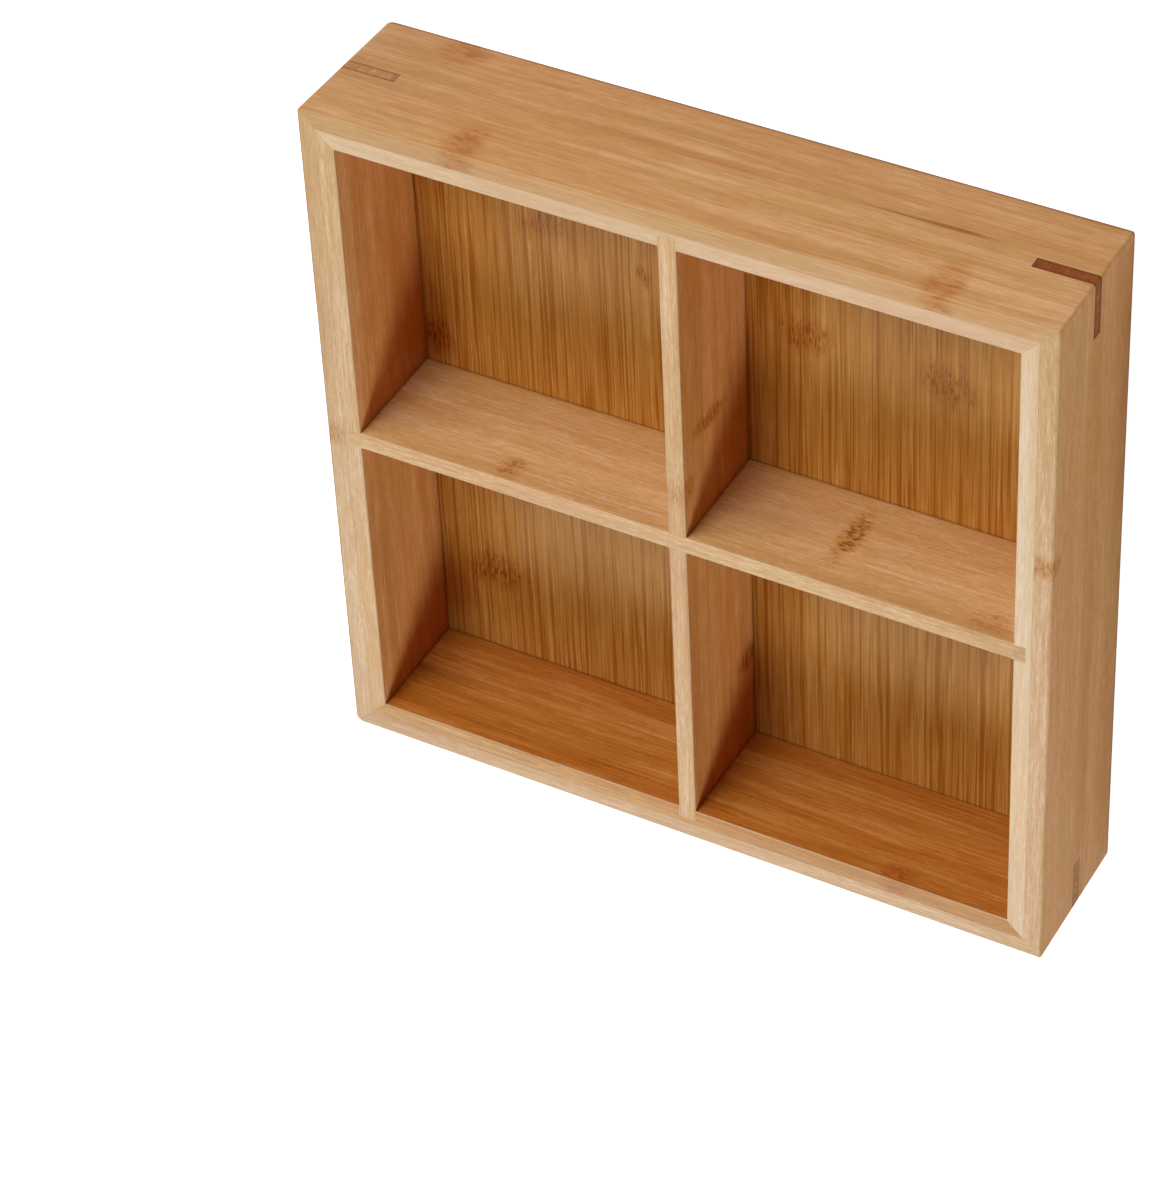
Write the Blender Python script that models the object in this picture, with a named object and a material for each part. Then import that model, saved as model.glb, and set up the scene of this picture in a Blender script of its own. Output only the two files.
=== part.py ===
"""Square drawer organizer in bamboo, with four open compartments.

The frame has four walls, each glued up from an outer and an inner board and mitred at its ends.
A key lies in a slot across each mitred corner. The floor panel is held in a groove round the
inner boards. Two dividers, halved over each other, stand on the floor with their ends in housings.

Metres, +Z up. The tray lies flat with its compartments open upwards, and the origin is in the
middle of its footprint, on the surface that it stands on. +Y is the rear and +X the right.
"""

from math import asin, cos, pi, sin, sqrt

import bmesh
import bpy

MM = 0.001

# Whole tray
TRAY_WIDTH = 250 * MM             # along X
TRAY_DEPTH = 250 * MM             # along Y
TRAY_HEIGHT = 52 * MM
CORNER_RADIUS = 1.5 * MM          # the four upright corners of the frame
EDGE_ROUND = 0.7 * MM             # the frame's outer edges, at the rim and at the base
EDGE_EASE = 0.5 * MM              # the edges round the compartments' mouths

# Boards of the walls
OUTER_BOARD = 6 * MM
INNER_BOARD = 5.7 * MM

# Floor panel
FLOOR_THICKNESS = 4 * MM
FLOOR_RECESS = 5.5 * MM           # the floor's underside above the base
GROOVE_DEPTH = 4 * MM

# Dividers
DIVIDER_THICKNESS = 6 * MM
HOUSING_DEPTH = 4 * MM
LAP_SHARE = 0.5                   # of the dividers' height, where one crosses over the other

# Corner keys
KEY_THICKNESS = 4.5 * MM
KEY_REACH = 20 * MM               # from the corner along each wall
KEY_LEVEL_SHARE = 0.5             # of the tray's height, up to the middle of a key

# Fits
JOINT_GAP = 0.3 * MM              # between one piece and the next
CUT_OVERRUN = 2 * MM              # how far a cutter passes the face that it opens

CORNER_STEPS = 6                  # facets in an eighth of a turn
EDGE_STEPS = 3                    # facets in a rounded edge
SHARP_ANGLE = pi / 6
QUARTER_TURN = pi / 2
EIGHTH_TURN = pi / 4

# Places that follow from the sizes
WALL = OUTER_BOARD + JOINT_GAP + INNER_BOARD
HALF_WIDTH = TRAY_WIDTH / 2
HALF_DEPTH = TRAY_DEPTH / 2
INNER_HALF_WIDTH = HALF_WIDTH - WALL
INNER_HALF_DEPTH = HALF_DEPTH - WALL
FLOOR_TOP = FLOOR_RECESS + FLOOR_THICKNESS
DIVIDER_LOW = FLOOR_TOP + JOINT_GAP
LAP_LEVEL = DIVIDER_LOW + LAP_SHARE * (TRAY_HEIGHT - DIVIDER_LOW)
HALF_DIVIDER = DIVIDER_THICKNESS / 2
KEY_LEVEL = KEY_LEVEL_SHARE * TRAY_HEIGHT
HALF_KEY = KEY_THICKNESS / 2
HALF_GAP = JOINT_GAP / 2
MITRE_SETBACK = HALF_GAP * sqrt(2)
KEY_SLOT_REACH = KEY_REACH + JOINT_GAP * sqrt(2)

# Walls and corners in order, each a quarter turn on from the one before, seen from above and to
# the left. A corner lies between the wall at its own place in the order and the wall before that.
WALLS = ("rear", "left", "front", "right")
CORNERS = ("rear_right", "rear_left", "front_left", "front_right")

# Colour and roughness of each kind of piece
FINISHES = {
    "outer_board": ((0.56, 0.31, 0.13), 0.42),
    "inner_board": ((0.70, 0.49, 0.28), 0.45),
    "floor_panel": ((0.42, 0.20, 0.06), 0.45),
    "divider": ((0.62, 0.38, 0.17), 0.43),
    "corner_key": ((0.45, 0.23, 0.09), 0.50),
    "dark_key": ((0.20, 0.05, 0.02), 0.55),
}


def make_materials():
    made = {}
    for name, (colour, roughness) in FINISHES.items():
        made[name] = bpy.data.materials.new(name)
        made[name].use_nodes = True
        shader = made[name].node_tree.nodes["Principled BSDF"]
        shader.inputs["Base Color"].default_value = (*colour, 1)
        shader.inputs["Roughness"].default_value = roughness
        shader.inputs["Metallic"].default_value = 0
    return made


def loft(name, rings):
    """A closed mesh through rings of points, each as long as the last, with flat ends."""
    shape = bmesh.new()
    rows = [[shape.verts.new(point) for point in ring] for ring in rings]
    count = len(rows[0])
    for row, next_row in zip(rows, rows[1:]):
        for i in range(count):
            j = (i + 1) % count
            shape.faces.new((row[i], row[j], next_row[j], next_row[i]))
    shape.faces.new(rows[0])
    shape.faces.new(rows[-1])
    bmesh.ops.recalc_face_normals(shape, faces=shape.faces)
    mesh = bpy.data.meshes.new(name)
    shape.to_mesh(mesh)
    shape.free()
    mesh.shade_smooth()
    mesh.set_sharp_from_angle(angle=SHARP_ANGLE)
    return mesh


def box(name, low, high):
    corners = ((low[0], low[1]), (high[0], low[1]), (high[0], high[1]), (low[0], high[1]))
    return loft(name, [[(x, y, z) for x, y in corners] for z in (low[2], high[2])])


def place(name, mesh, parent, at=(0, 0, 0), turn=0):
    thing = bpy.data.objects.new(name, mesh)
    bpy.context.scene.collection.objects.link(thing)
    thing.parent = parent
    thing.location = at
    thing.rotation_euler.z = turn * QUARTER_TURN
    return thing


def place_piece(name, mesh, material, parent, at=(0, 0, 0), turn=0):
    if not mesh.materials:
        mesh.materials.append(material)
    return place(name, mesh, parent, at, turn)


def place_cutter(name, mesh, parent, at=(0, 0, 0), turn=0):
    cutter = place(name, mesh, parent, at, turn)
    cutter.hide_render = True
    cutter.display_type = "WIRE"
    return cutter


def cut(piece, cutter):
    boolean = piece.modifiers.new(cutter.name, "BOOLEAN")
    boolean.operation = "DIFFERENCE"
    boolean.solver = "EXACT"
    boolean.object = cutter


def arc(centre_x, centre_y, radius, start, end, steps):
    """Points of an arc about a centre, from one angle to another."""
    angles = [start + (end - start) * i / steps for i in range(steps + 1)]
    return [(centre_x + radius * cos(a), centre_y + radius * sin(a)) for a in angles]


# A board lies along X with y measured outwards from the tray's face, so a board's mitred end is
# where x is half the wall's length, plus y, less its half of the gap in the mitre.

def mitre_end(half_length, y):
    return half_length + y - MITRE_SETBACK


def outer_outline(half_length, inset):
    """Plan of an outer board, its face drawn in by the inset, with its half of each corner."""
    inner_y = -OUTER_BOARD
    radius = CORNER_RADIUS - inset
    mitre_angle = EIGHTH_TURN + asin(HALF_GAP / radius)
    centre_x = half_length - CORNER_RADIUS
    right = arc(centre_x, -CORNER_RADIUS, radius, mitre_angle, QUARTER_TURN, CORNER_STEPS)
    left = [(-x, y) for x, y in reversed(right)]
    inner_x = mitre_end(half_length, inner_y)
    return [(-inner_x, inner_y), (inner_x, inner_y)] + right + left


def outer_board(name, half_length):
    """An outer board, rounded along its outer edges at the base and at the rim."""
    lower = []
    for i in range(EDGE_STEPS + 1):
        angle = QUARTER_TURN * i / EDGE_STEPS
        lower.append((EDGE_ROUND * (1 - cos(angle)), EDGE_ROUND * (1 - sin(angle))))
    upper = [(TRAY_HEIGHT - height, inset) for height, inset in reversed(lower)]
    rings = []
    for height, inset in lower + upper:
        rings.append([(x, y, height) for x, y in outer_outline(half_length, inset)])
    return loft(name, rings)


def inner_board(name, half_length):
    """An inner board, with its edge at the compartments' mouths eased."""
    outer_y = -(OUTER_BOARD + JOINT_GAP)
    outer_x = mitre_end(half_length, outer_y)
    levels = [(0, 0)]
    for i in range(EDGE_STEPS + 1):
        angle = QUARTER_TURN * i / EDGE_STEPS
        levels.append((TRAY_HEIGHT - EDGE_EASE * (1 - sin(angle)), EDGE_EASE * (1 - cos(angle))))
    rings = []
    for height, inset in levels:
        inner_y = -WALL + inset
        inner_x = mitre_end(half_length, inner_y)
        plan = [(-inner_x, inner_y), (inner_x, inner_y), (outer_x, outer_y), (-outer_x, outer_y)]
        rings.append([(x, y, height) for x, y in plan])
    return loft(name, rings)


def divider_mesh(name, half_length):
    """A divider along X, standing on the floor, with its two top edges eased."""
    round_y = HALF_DIVIDER - EDGE_EASE
    round_z = TRAY_HEIGHT - EDGE_EASE
    right = arc(round_y, round_z, EDGE_EASE, 0, QUARTER_TURN, EDGE_STEPS)
    left = [(-y, z) for y, z in reversed(right)]
    profile = [(-HALF_DIVIDER, DIVIDER_LOW), (HALF_DIVIDER, DIVIDER_LOW)] + right + left
    return loft(name, [[(x, y, z) for y, z in profile] for x in (-half_length, half_length)])


def key_mesh(name):
    """A key for the rear right corner, its own corner at the origin and flush with the walls."""
    corner = arc(-CORNER_RADIUS, -CORNER_RADIUS, CORNER_RADIUS, 0, QUARTER_TURN, 2 * CORNER_STEPS)
    outline = [(0, -KEY_REACH)] + corner + [(-KEY_REACH, 0)]
    return loft(name, [[(x, y, z) for x, y in outline] for z in (-HALF_KEY, HALF_KEY)])


def key_slot_mesh(name):
    """The cutter for a key's slot: the key with the gap added, and past the faces of the walls."""
    half_slot = HALF_KEY + JOINT_GAP
    far = -KEY_SLOT_REACH - CUT_OVERRUN
    outline = [(CUT_OVERRUN, CUT_OVERRUN), (far, CUT_OVERRUN), (CUT_OVERRUN, far)]
    return loft(name, [[(x, y, z) for x, y in outline] for z in (-half_slot, half_slot)])


def make_frame(tray, materials):
    boards = {}
    for turn, wall in enumerate(WALLS):
        along_x = wall in ("rear", "front")
        half_length, distance = (HALF_WIDTH, HALF_DEPTH) if along_x else (HALF_DEPTH, HALF_WIDTH)
        facing = turn * QUARTER_TURN
        at = (-distance * sin(facing), distance * cos(facing), 0)
        for layer, make in (("outer", outer_board), ("inner", inner_board)):
            name = f"{wall}_wall_{layer}_board"
            material = materials[f"{layer}_board"]
            mesh = make(name, half_length)
            boards[wall, layer] = place_piece(name, mesh, material, tray, at, turn)
    return boards


def make_keys(tray, materials, boards):
    slot = key_slot_mesh("key_slot")
    for turn, corner in enumerate(CORNERS):
        x = HALF_WIDTH if corner.endswith("right") else -HALF_WIDTH
        y = HALF_DEPTH if corner.startswith("rear") else -HALF_DEPTH
        at = (x, y, KEY_LEVEL)
        name = f"{corner}_key"
        finish = "dark_key" if corner == "rear_right" else "corner_key"
        place_piece(name, key_mesh(name), materials[finish], tray, at, turn)
        cutter = place_cutter(f"{name}_slot", slot, tray, at, turn)
        for wall in (WALLS[turn - 1], WALLS[turn]):
            cut(boards[wall, "outer"], cutter)
            cut(boards[wall, "inner"], cutter)


def make_floor(tray, materials, boards):
    reach = GROOVE_DEPTH - JOINT_GAP
    panel = box(
        "floor_panel",
        (-INNER_HALF_WIDTH - reach, -INNER_HALF_DEPTH - reach, FLOOR_RECESS),
        (INNER_HALF_WIDTH + reach, INNER_HALF_DEPTH + reach, FLOOR_TOP),
    )
    place_piece("floor_panel", panel, materials["floor_panel"], tray)
    groove = box(
        "floor_groove",
        (-INNER_HALF_WIDTH - GROOVE_DEPTH, -INNER_HALF_DEPTH - GROOVE_DEPTH, FLOOR_RECESS - JOINT_GAP),
        (INNER_HALF_WIDTH + GROOVE_DEPTH, INNER_HALF_DEPTH + GROOVE_DEPTH, FLOOR_TOP + JOINT_GAP),
    )
    cutter = place_cutter("floor_groove", groove, tray)
    for wall in WALLS:
        cut(boards[wall, "inner"], cutter)


def make_divider(tray, material, boards, name, inner_half, turn, walls, lap):
    """A divider from one wall to the one facing it, its housings, and its half of the lap."""
    length = inner_half + HOUSING_DEPTH
    mesh = divider_mesh(name, length - JOINT_GAP)
    divider = place_piece(name, mesh, material, tray, turn=turn)

    half_slot = HALF_DIVIDER + JOINT_GAP
    top = TRAY_HEIGHT + CUT_OVERRUN
    housing = box(f"{name}_housing", (-length, -half_slot, FLOOR_TOP), (length, half_slot, top))
    housing_cutter = place_cutter(f"{name}_housing", housing, tray, turn=turn)
    for wall in walls:
        cut(boards[wall, "inner"], housing_cutter)

    lap_low, lap_high = lap
    slot = box(
        f"{name}_lap",
        (-half_slot, -half_slot - CUT_OVERRUN, lap_low),
        (half_slot, half_slot + CUT_OVERRUN, lap_high),
    )
    cut(divider, place_cutter(f"{name}_lap", slot, tray, turn=turn))


def make_dividers(tray, materials, boards):
    slot_below = (DIVIDER_LOW - CUT_OVERRUN, LAP_LEVEL + HALF_GAP)
    slot_above = (LAP_LEVEL - HALF_GAP, TRAY_HEIGHT + CUT_OVERRUN)
    material = materials["divider"]
    make_divider(tray, material, boards, "cross_divider", INNER_HALF_WIDTH, 0,
                 ("left", "right"), slot_below)
    make_divider(tray, material, boards, "long_divider", INNER_HALF_DEPTH, 1,
                 ("rear", "front"), slot_above)


def clear_scene():
    for thing in list(bpy.data.objects):
        bpy.data.objects.remove(thing, do_unlink=True)


def main():
    clear_scene()
    materials = make_materials()
    tray = bpy.data.objects.new("drawer_organizer", None)
    bpy.context.scene.collection.objects.link(tray)
    boards = make_frame(tray, materials)
    make_keys(tray, materials, boards)
    make_floor(tray, materials, boards)
    make_dividers(tray, materials, boards)


main()
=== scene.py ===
"""Looks of the bamboo drawer organizer: each board as a finished piece in its CAD node's place.

Metres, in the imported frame: the tray lies flat on the floor, +Z up out of its compartments, +Y to
the rear and +X to the right. Lengths inside the materials are in millimetres.
"""

from math import asin, cos, exp, pi, radians, sin, sqrt

import bmesh
import bpy
from mathutils import Matrix, Vector


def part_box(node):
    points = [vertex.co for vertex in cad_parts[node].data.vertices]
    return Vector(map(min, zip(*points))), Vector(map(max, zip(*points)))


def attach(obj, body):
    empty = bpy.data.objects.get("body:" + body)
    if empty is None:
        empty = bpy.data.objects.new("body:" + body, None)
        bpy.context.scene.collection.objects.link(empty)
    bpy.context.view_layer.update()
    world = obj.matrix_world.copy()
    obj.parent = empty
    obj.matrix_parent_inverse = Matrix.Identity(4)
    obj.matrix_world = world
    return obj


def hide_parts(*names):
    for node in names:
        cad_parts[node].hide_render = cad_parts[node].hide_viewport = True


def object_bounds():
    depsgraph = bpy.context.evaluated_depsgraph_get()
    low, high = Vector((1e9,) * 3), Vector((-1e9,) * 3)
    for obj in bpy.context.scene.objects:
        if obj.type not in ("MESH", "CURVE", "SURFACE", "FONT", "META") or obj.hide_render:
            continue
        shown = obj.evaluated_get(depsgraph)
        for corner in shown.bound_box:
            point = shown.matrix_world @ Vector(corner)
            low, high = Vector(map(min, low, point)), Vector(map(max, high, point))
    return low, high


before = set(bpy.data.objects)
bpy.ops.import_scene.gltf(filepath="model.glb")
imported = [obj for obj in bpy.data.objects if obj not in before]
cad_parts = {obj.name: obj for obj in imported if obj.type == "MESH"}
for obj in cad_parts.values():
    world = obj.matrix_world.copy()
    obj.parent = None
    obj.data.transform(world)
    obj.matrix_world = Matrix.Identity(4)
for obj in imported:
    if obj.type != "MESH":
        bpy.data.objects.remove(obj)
cad_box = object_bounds()

MM = 0.001
QUARTER_TURN = pi / 2
EIGHTH_TURN = pi / 4
SHARP_ANGLE = radians(32)

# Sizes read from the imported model
HALF_WIDTH, HALF_DEPTH, TRAY_HEIGHT = cad_box[1]
outer_low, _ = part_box("rear_wall_outer_board")
inner_low, inner_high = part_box("rear_wall_inner_board")
floor_low, floor_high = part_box("floor_panel")
divider_low, divider_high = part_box("cross_divider")
key_low, key_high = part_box("rear_right_key")
WALL = HALF_DEPTH - inner_low[1]
GLUE_PLANE = HALF_DEPTH - (outer_low[1] + inner_high[1]) / 2
HALF_DIVIDER = divider_high[1]
FLOOR_TOP = floor_high[2]
FLOOR_REACH = floor_high[0]
KEY_REACH = HALF_WIDTH - key_low[0]
KEY_LEVEL = (key_low[2] + key_high[2]) / 2
HALF_KEY = (key_high[2] - key_low[2]) / 2

# Fits, tighter than in the CAD model, as the glued boards look
JOINT = 0.04 * MM
MITRE_JOINT = 0.03 * MM
CLOSE_JOINT = 0.02 * MM           # at housings and laps, sanded flush
KEY_JOINT = 0.005 * MM
CUT_OVERRUN = 2 * MM              # of a cutter past the face that it cuts through
CAD_GAP = 0.3 * MM                # between neighbouring solids in the CAD model
HOUSING_END = divider_high[0] + CAD_GAP
LAP_LEVEL = (divider_low[2] + TRAY_HEIGHT) / 2

# Rounded edges
RIM_ROUND = 0.9 * MM
MOUTH_EASE = 0.5 * MM
BASE_ROUND = 1.0 * MM
CREST_EASE = 0.05 * MM            # a divider's edges where they meet a wall or the other divider
EASE_RUN_OUT = 0.6 * MM           # over which the edges there go from sharp to eased
CORNER_RADII = {                  # at the base and at the rim
    "rear_right": (1.2 * MM, 1.0 * MM),
    "rear_left": (4.6 * MM, 1.5 * MM),
    "front_left": (2.8 * MM, 2.6 * MM),
    "front_right": (2.0 * MM, 0.95 * MM),
}
CORNER_STEPS = 8
EDGE_STEPS = 5

WALLS = ("rear", "left", "front", "right")
CORNERS = ("rear_right", "rear_left", "front_left", "front_right")


# Meshes

def loft(name, rings):
    """A closed mesh through rings of points, each as long as the last, with flat ends."""
    shape = bmesh.new()
    rows = [[shape.verts.new(point) for point in ring] for ring in rings]
    count = len(rows[0])
    for row, next_row in zip(rows, rows[1:]):
        for i in range(count):
            j = (i + 1) % count
            shape.faces.new((row[i], row[j], next_row[j], next_row[i]))
    shape.faces.new(rows[0])
    shape.faces.new(rows[-1])
    bmesh.ops.recalc_face_normals(shape, faces=shape.faces)
    mesh = bpy.data.meshes.new(name)
    shape.to_mesh(mesh)
    shape.free()
    return mesh


def block(name, low, high):
    corners = ((low[0], low[1]), (high[0], low[1]), (high[0], high[1]), (low[0], high[1]))
    return loft(name, [[(x, y, z) for x, y in corners] for z in (low[2], high[2])])


def arc(centre_x, centre_y, radius, start, end, steps):
    angles = [start + (end - start) * i / steps for i in range(steps + 1)]
    return [(centre_x + radius * cos(a), centre_y + radius * sin(a)) for a in angles]


def rounding(radius):
    """Height and inset of each ring of a rounded edge, from the edge's end up to its side."""
    angles = [QUARTER_TURN * i / EDGE_STEPS for i in range(EDGE_STEPS + 1)]
    return [(radius * (1 - sin(a)), radius * (1 - cos(a))) for a in reversed(angles)]


def link(name, data):
    thing = bpy.data.objects.new(name, data)
    bpy.context.scene.collection.objects.link(thing)
    return thing


def turned(mesh, turn):
    mesh.transform(Matrix.Rotation(turn * QUARTER_TURN, 4, "Z"))
    mesh.update()
    return mesh


def carve(piece, cutters):
    """Cuts the shapes out of a piece and keeps the result as its mesh."""
    for cutter in cutters:
        boolean = piece.modifiers.new(cutter.name, "BOOLEAN")
        boolean.operation = "DIFFERENCE"
        boolean.solver = "EXACT"
        boolean.object = cutter
    bpy.context.view_layer.update()
    graph = bpy.context.evaluated_depsgraph_get()
    mesh = bpy.data.meshes.new_from_object(piece.evaluated_get(graph))
    piece.modifiers.clear()
    piece.data = mesh


def mark_edges(mesh, low, high, low_round, high_round):
    """Stores how far each point lies round an edge: 0 on the board's faces and 1 on its edges."""
    edge = mesh.attributes.new("edge", "FLOAT", "POINT")
    for point, value in zip(mesh.vertices, edge.data):
        above = (point.co.z - (high - high_round)) / high_round if high_round else 0
        below = (low + low_round - point.co.z) / low_round if low_round else 0
        value.value = min(1, max(0, above, below))


# Boards. Each is drawn along X with y measured outwards from the tray's face, then turned.

def outer_outline(half_length, inset, radii):
    """An outer board's plan at one height, with its outside set in and its two ends rounded."""
    inner_y = -GLUE_PLANE + JOINT / 2
    inner_x = half_length + inner_y - MITRE_JOINT / sqrt(2)
    ends = []
    for radius in radii:
        start = EIGHTH_TURN + asin(MITRE_JOINT / 2 / (radius - inset))
        ends.append(arc(half_length - radius, -radius, radius - inset, start, QUARTER_TURN, CORNER_STEPS))
    right, left = ends
    left = [(-x, y) for x, y in reversed(left)]
    return [(-inner_x, inner_y), (inner_x, inner_y)] + right + left


def outer_board(name, half_length, corners):
    """An outer board with mitred ends, rounded at the base, the rim and the tray's corners."""
    base_radii, rim_radii = zip(*(CORNER_RADII[corner] for corner in corners))
    rings = []
    for height, inset in rounding(BASE_ROUND):
        rings.append([(x, y, height) for x, y in outer_outline(half_length, inset, base_radii)])
    for height, inset in reversed(rounding(RIM_ROUND)):
        outline = outer_outline(half_length, inset, rim_radii)
        rings.append([(x, y, TRAY_HEIGHT - height) for x, y in outline])
    return loft(name, rings)


def inner_board(name, half_length):
    """An inner board with mitred ends, its edges eased on the side of the compartments."""
    outer_y = -GLUE_PLANE - JOINT / 2
    setback = MITRE_JOINT / sqrt(2)
    levels = list(rounding(MOUTH_EASE))
    levels += [(TRAY_HEIGHT - height, inset) for height, inset in reversed(levels)]
    rings = []
    for height, inset in levels:
        inner_y = -WALL + inset
        inner_x = half_length + inner_y - setback
        outer_x = half_length + outer_y - setback
        plan = [(-inner_x, inner_y), (inner_x, inner_y), (outer_x, outer_y), (-outer_x, outer_y)]
        rings.append([(x, y, height) for x, y in plan])
    return loft(name, rings)


def divider_profile(ease):
    """A divider's outline across its length, with its top edges rounded."""
    low = FLOOR_TOP + JOINT
    shoulder = TRAY_HEIGHT - 2 * MOUTH_EASE
    top = arc(HALF_DIVIDER - ease, TRAY_HEIGHT - ease, ease, 0, QUARTER_TURN, EDGE_STEPS)
    right = [(HALF_DIVIDER, low), (HALF_DIVIDER, shoulder)] + top
    return right + [(-y, z) for y, z in reversed(right)]


def divider(name, half_length):
    """A divider whose top edges are sharp where it runs into the walls and the other divider."""
    wall_face = HALF_WIDTH - WALL
    stations = [
        (half_length - CLOSE_JOINT, CREST_EASE),
        (wall_face, CREST_EASE),
        (wall_face - EASE_RUN_OUT, MOUTH_EASE),
        (HALF_DIVIDER + EASE_RUN_OUT, MOUTH_EASE),
        (HALF_DIVIDER, CREST_EASE),
    ]
    stations += [(-x, ease) for x, ease in reversed(stations)]
    return loft(name, [[(x, y, z) for y, z in divider_profile(ease)] for x, ease in stations])


def corner_radius(corner, height):
    """A corner's radius at a height: it changes evenly between the two rounded edges."""
    base_radius, rim_radius = CORNER_RADII[corner]
    share = (height - BASE_ROUND) / (TRAY_HEIGHT - RIM_ROUND - BASE_ROUND)
    return base_radius + (rim_radius - base_radius) * share


def key(name, corner):
    """A key as at the rear right corner, flush with both walls, its corner at the origin."""
    rings = []
    for z in (-HALF_KEY, HALF_KEY):
        radius = corner_radius(corner, KEY_LEVEL + z)
        turn = arc(-radius, -radius, radius, 0, QUARTER_TURN, 2 * CORNER_STEPS)
        rings.append([(x, y, z) for x, y in [(0, -KEY_REACH)] + turn + [(-KEY_REACH, 0)]])
    return loft(name, rings)


def key_slot(name):
    reach = KEY_REACH + KEY_JOINT * sqrt(2) + CUT_OVERRUN
    outline = [(CUT_OVERRUN, CUT_OVERRUN), (-reach, CUT_OVERRUN), (CUT_OVERRUN, -reach)]
    half = HALF_KEY + KEY_JOINT
    return loft(name, [[(x, y, z) for x, y in outline] for z in (-half, half)])


def corner_place(corner, mesh, turn):
    x = HALF_WIDTH if corner.endswith("right") else -HALF_WIDTH
    y = HALF_DEPTH if corner.startswith("rear") else -HALF_DEPTH
    turned(mesh, turn)
    mesh.transform(Matrix.Translation((x, y, KEY_LEVEL)))
    return mesh


def wall_place(turn, mesh):
    distance = HALF_DEPTH if turn % 2 == 0 else HALF_WIDTH
    mesh.transform(Matrix.Translation((0, distance, 0)))
    return turned(mesh, turn)


# Materials. A graph's calls each add one node and give back its output.

class Graph:
    def __init__(self, material):
        self.tree = material.node_tree

    def add(self, kind, values=None, output=0, **settings):
        node = self.tree.nodes.new(kind)
        for name, value in settings.items():
            setattr(node, name, value)
        for key_or_index, value in (values or {}).items():
            self.put(value, node.inputs[key_or_index])
        return node.outputs[output]

    def put(self, value, socket):
        if isinstance(value, bpy.types.NodeSocket):
            self.tree.links.new(value, socket)
        else:
            socket.default_value = value

    def math(self, operation, *values):
        return self.add("ShaderNodeMath", dict(enumerate(values)), operation=operation)

    def vector(self, operation, *values):
        return self.add("ShaderNodeVectorMath", dict(enumerate(values)), operation=operation)

    def join(self, x, y, z):
        return self.add("ShaderNodeCombineXYZ", {0: x, 1: y, 2: z})

    def split(self, vector):
        node = self.add("ShaderNodeSeparateXYZ", {0: vector}).node
        return node.outputs[0], node.outputs[1], node.outputs[2]

    def noise(self, vector, sizes, detail, rough=0.5):
        """Noise whose features have the given sizes along, across and through the board."""
        stretched = self.vector("DIVIDE", vector, sizes)
        values = {"Vector": stretched, "Scale": 1.0, "Detail": detail, "Roughness": rough}
        return self.add("ShaderNodeTexNoise", values, noise_dimensions="3D")

    def steep(self, value, low, high, first=0.0, last=1.0):
        """A smooth step from the first result, at the value low, to the last one, at high."""
        values = {0: value, 1: low, 2: high, 3: first, 4: last}
        return self.add("ShaderNodeMapRange", values, interpolation_type="SMOOTHSTEP", clamp=True)

    def mix(self, share, first, second):
        values = {0: share, 6: first, 7: second}
        return self.add("ShaderNodeMix", values, 2, data_type="RGBA", clamp_factor=True)

    def tint(self, share, colour, multiplier):
        """The colour, multiplied by another to the given share."""
        values = {0: share, 6: colour, 7: multiplier}
        return self.add("ShaderNodeMix", values, 2, data_type="RGBA", blend_type="MULTIPLY")

    def ramp(self, value, colours):
        """The colour at a value, on a scale of evenly spaced colours."""
        node = self.add("ShaderNodeValToRGB", {0: value}).node
        last = len(colours) - 1
        while len(node.color_ramp.elements) < len(colours):
            node.color_ramp.elements.new(1.0)
        for i, colour in enumerate(colours):
            node.color_ramp.elements[i].position = i / last
            node.color_ramp.elements[i].color = colour
        return node.outputs[0]

    def total(self, *values):
        result = values[0]
        for value in values[1:]:
            result = self.math("ADD", result, value)
        return result

    def swing(self, value, amount):
        """The swing of a noise about its middle, times an amount."""
        return self.math("MULTIPLY", self.math("SUBTRACT", value, 0.5), amount)

    def spots(self, along, across, places, core):
        """The strongest of several soft spots, each given by its place, half sizes and strength.

        A spot has its full strength inside its core, a share of its size, and fades towards its edge.
        """
        strongest = None
        for u, v, half_u, half_v, strength in places:
            du = self.math("DIVIDE", self.math("SUBTRACT", along, u), half_u)
            dv = self.math("DIVIDE", self.math("SUBTRACT", across, v), half_v)
            distance = self.vector("LENGTH", self.join(du, dv, 0.0)).node.outputs["Value"]
            spot = self.steep(distance, 1.0, core, 0.0, strength)
            strongest = spot if strongest is None else self.math("MAXIMUM", strongest, spot)
        return strongest


def rgb(red, green, blue):
    return (red, green, blue, 1.0)


# How far red, green and blue change along the grain's shades, also in darker boards and in the floor
GRAIN_SWING = (0.55, 1.0, 1.9)
DEEP_SWING = (0.50, 1.0, 2.5)
FLOOR_SWING = (0.50, 1.0, 2.1)


def shades(middle, contrast, swings=GRAIN_SWING):
    """A dark, a middle and a light shade of a colour: the dark one is redder, the light one paler."""
    result = []
    for shift in (-contrast, 0, contrast):
        result.append(rgb(*(value * exp(shift * swing) for value, swing in zip(middle, swings))))
    return result


# What a mark multiplies the wood's colour by
KNOT_TINT = rgb(0.86, 0.69, 0.41)
KNOT_DASH = rgb(0.82, 0.60, 0.31)
DARK_DASH = rgb(0.56, 0.25, 0.05)
BROWN_DASH = rgb(0.46, 0.31, 0.14)
STREAK_TINT = rgb(0.55, 0.34, 0.19)
STAIN_TINT = rgb(0.62, 0.62, 0.66)
# Painted shade, darker and redder, in the compartments' deepest corners; on the floor partly darker wood too
DEEP_SHADE_TINT = rgb(0.84, 0.58, 0.42)
# Paler; on the floor it is a painted sheen
PALE_TINT = rgb(1.15, 1.20, 1.22)
DULL_TINT = rgb(0.91, 0.92, 0.94)
YELLOW_TINT = rgb(1.00, 0.92, 0.74)
BOUNCE_TINT = rgb(1.0, 0.73, 0.40)  # the light that one board throws on another is redder still
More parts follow.
